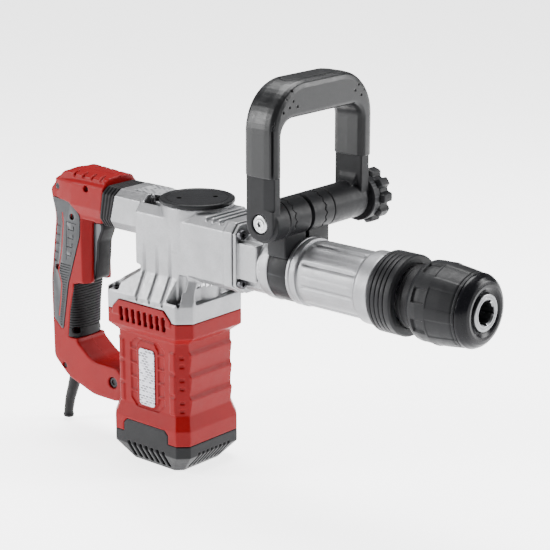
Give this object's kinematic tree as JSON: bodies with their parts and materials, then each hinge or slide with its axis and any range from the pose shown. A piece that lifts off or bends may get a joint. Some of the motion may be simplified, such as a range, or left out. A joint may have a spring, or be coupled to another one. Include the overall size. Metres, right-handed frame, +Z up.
{
  "type": "electric jackhammer",
  "caption": "L-shaped electric demolition hammer: upright motor, gear housing, barrel with socket chuck, rear trigger handle and a swivelling D-handle.",
  "frame": {"origin": "middle of the flat foot of the motor's end cap, on the motor's axis", "axes": "+X along the hammer axis towards the tool holder, +Y to the tool's left, +Z up along the motor's axis"},
  "size_m": [0.4766, 0.147, 0.362],
  "materials": {
    "cast_aluminium": "light grey cast aluminium, satin with a fine grain",
    "red_plastic": "coral red moulded plastic, satin",
    "charcoal_plastic": "charcoal moulded plastic, satin",
    "grey_rubber": "mid grey overmoulded rubber, matt",
    "black_rubber": "black rubber, matt",
    "gloss_black": "glossy black",
    "label": "plain silver-grey plate without lettering",
    "steel": "bright machined steel",
    "lamination": "stacked steel laminations",
    "copper": "turned copper",
    "carbon": "matt carbon",
    "brass": "pressed brass"
  },
  "bodies": {
    "machine": {"gear_housing": "cast_aluminium", "crank_cover": "charcoal_plastic", "crank_cover_seal": "black_rubber", "barrel_screw_1": "steel", "barrel_screw_2": "steel", "barrel_screw_3": "steel", "barrel_screw_4": "steel", "housing_screw_1": "steel", "housing_screw_2": "steel", "housing_screw_3": "steel", "housing_screw_4": "steel", "motor_housing": "red_plastic", "motor_end_cap": "charcoal_plastic", "label_plate": "label", "stator_core": "lamination", "upper_bearing": "steel", "lower_bearing": "steel", "carbon_brush_left": "carbon", "carbon_brush_right": "carbon", "brush_holder_left": "brass", "brush_holder_right": "brass", "crank_bearing": "steel", "cylinder_sleeve": "steel", "barrel_housing": "cast_aluminium", "handle_bellows": "black_rubber"},
    "rotor": {"armature_shaft": "steel", "armature_core": "lamination", "commutator": "copper", "cooling_fan": "charcoal_plastic", "pinion": "steel"},
    "crank": {"crankshaft": "steel", "crank_gear": "steel"},
    "piston": {"piston": "steel", "piston_ring": "black_rubber", "wrist_pin": "steel"},
    "rod": {"connecting_rod": "steel"},
    "striker": {"striker": "steel"},
    "impact_bolt": {"impact_bolt": "steel"},
    "tool_holder": {"tool_holder": "steel", "neck_sleeve": "charcoal_plastic", "nose_cap": "gloss_black", "locking_roller_left": "steel", "locking_roller_right": "steel"},
    "chuck_sleeve": {"chuck_sleeve": "charcoal_plastic"},
    "adjust_collar": {"adjust_collar": "charcoal_plastic"},
    "rear_handle": {"handle_shell_left": "red_plastic", "handle_shell_right": "red_plastic", "grip_overlay_left": "grey_rubber", "grip_overlay_right": "grey_rubber", "front_grip": "black_rubber", "switch_body": "charcoal_plastic", "handle_pivot_bolt": "steel", "cord_boot": "black_rubber"},
    "trigger": {"trigger": "charcoal_plastic"},
    "clamp": {"band_clamp": "charcoal_plastic"},
    "d_handle": {"d_handle_frame": "charcoal_plastic", "d_handle_grip": "black_rubber", "d_handle_bolt": "steel"},
    "knob": {"d_handle_knob": "charcoal_plastic"}
  },
  "joints": [
    {"name": "rotor_spin", "type": "hinge", "parent": "machine", "child": "rotor", "pos_m": [0, 0, 0.1], "axis": [0, 0, 1], "continuous": true},
    {"name": "crank_spin", "type": "hinge", "parent": "machine", "child": "crank", "pos_m": [0.0293, 0, 0.17], "axis": [0, 0, 1], "continuous": true},
    {"name": "piston_slide", "type": "slide", "parent": "machine", "child": "piston", "axis": [1, 0, 0], "range_m": [-0.018, 0]},
    {"name": "rod_swing", "type": "hinge", "parent": "piston", "child": "rod", "pos_m": [0.0783, 0, 0.202], "axis": [0, 0, 1], "range_deg": [-13, 13]},
    {"name": "striker_slide", "type": "slide", "parent": "machine", "child": "striker", "axis": [1, 0, 0], "range_m": [-0.012, 0.02]},
    {"name": "impact_bolt_slide", "type": "slide", "parent": "machine", "child": "impact_bolt", "axis": [1, 0, 0], "range_m": [-0.001, 0.006]},
    {"name": "tool_holder_spin", "type": "hinge", "parent": "machine", "child": "tool_holder", "pos_m": [0.27, 0, 0.202], "axis": [1, 0, 0], "continuous": true},
    {"name": "chuck_sleeve_slide", "type": "slide", "parent": "tool_holder", "child": "chuck_sleeve", "axis": [1, 0, 0], "range_m": [-0.008, 0], "stiffness_N_per_m": 500, "springref_m": 0.01},
    {"name": "adjust_collar_slide", "type": "slide", "parent": "tool_holder", "child": "adjust_collar", "axis": [1, 0, 0], "range_m": [0, 0.003], "stiffness_N_per_m": 800, "springref_m": -0.006},
    {"name": "rear_handle_swing", "type": "hinge", "parent": "machine", "child": "rear_handle", "pos_m": [-0.062, 0, 0.059], "axis": [0, 1, 0], "range_deg": [0, 1.8], "stiffness_Nm_per_rad": 150, "springref_deg": -1.15, "deforming": ["handle_bellows"]},
    {"name": "trigger_press", "type": "hinge", "parent": "rear_handle", "child": "trigger", "pos_m": [-0.092, 0, 0.199], "axis": [0, 1, 0], "range_deg": [0, 7], "stiffness_Nm_per_rad": 1.5, "springref_deg": -3.44},
    {"name": "clamp_swivel", "type": "hinge", "parent": "machine", "child": "clamp", "pos_m": [0.1425, 0, 0.202], "axis": [1, 0, 0], "range_deg": [-90, 90]},
    {"name": "d_handle_tilt", "type": "hinge", "parent": "clamp", "child": "d_handle", "pos_m": [0.1425, 0, 0.2485], "axis": [0, 1, 0], "range_deg": [-70, 85]},
    {"name": "knob_turn", "type": "hinge", "parent": "d_handle", "child": "knob", "pos_m": [0.1425, 0.09, 0.2485], "axis": [0, 1, 0], "continuous": true}
  ],
  "couplings": [
    {"joint": "crank_spin", "follows": "rotor_spin", "ratio": -0.22222}
  ]
}
